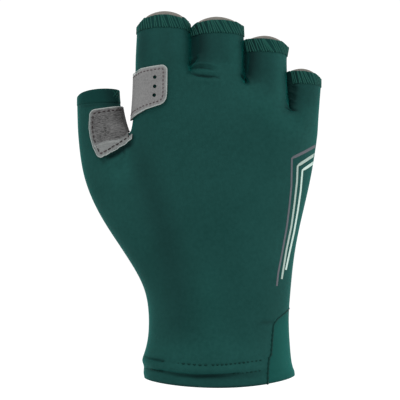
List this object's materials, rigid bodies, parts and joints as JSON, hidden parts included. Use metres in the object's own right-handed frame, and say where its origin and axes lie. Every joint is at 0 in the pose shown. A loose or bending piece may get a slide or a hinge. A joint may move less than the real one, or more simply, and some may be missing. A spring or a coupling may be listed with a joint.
{
  "type": "sailing glove",
  "caption": "Fingerless right-hand sailing glove in thin stretch cloth with a suede palm and patches, filled as if worn.",
  "frame": {"origin": "centre of the wrist opening, at the edge of the cuff", "axes": "+Z towards the fingers, -Y out of the back of the hand, -X towards the thumb"},
  "size_m": [0.1224, 0.0502, 0.1826],
  "materials": {
    "green_jersey": "fine dark green stretch knit with a soft sheen",
    "gusset_mesh": "lighter green stretch knit",
    "palm_suede": "warm grey synthetic suede",
    "index_suede": "smooth light grey synthetic suede",
    "thumb_suede": "mottled mid grey synthetic suede"
  },
  "bodies": {
    "root": {"back_panel": "green_jersey", "palm_panel": "palm_suede", "cuff_hem": "green_jersey", "cuff_gusset": "gusset_mesh", "index_hem": "green_jersey", "middle_hem": "green_jersey", "ring_hem": "green_jersey", "little_hem": "green_jersey", "thumb_hem": "green_jersey", "index_patch": "index_suede", "thumb_patch": "thumb_suede"}
  },
  "joints": []
}
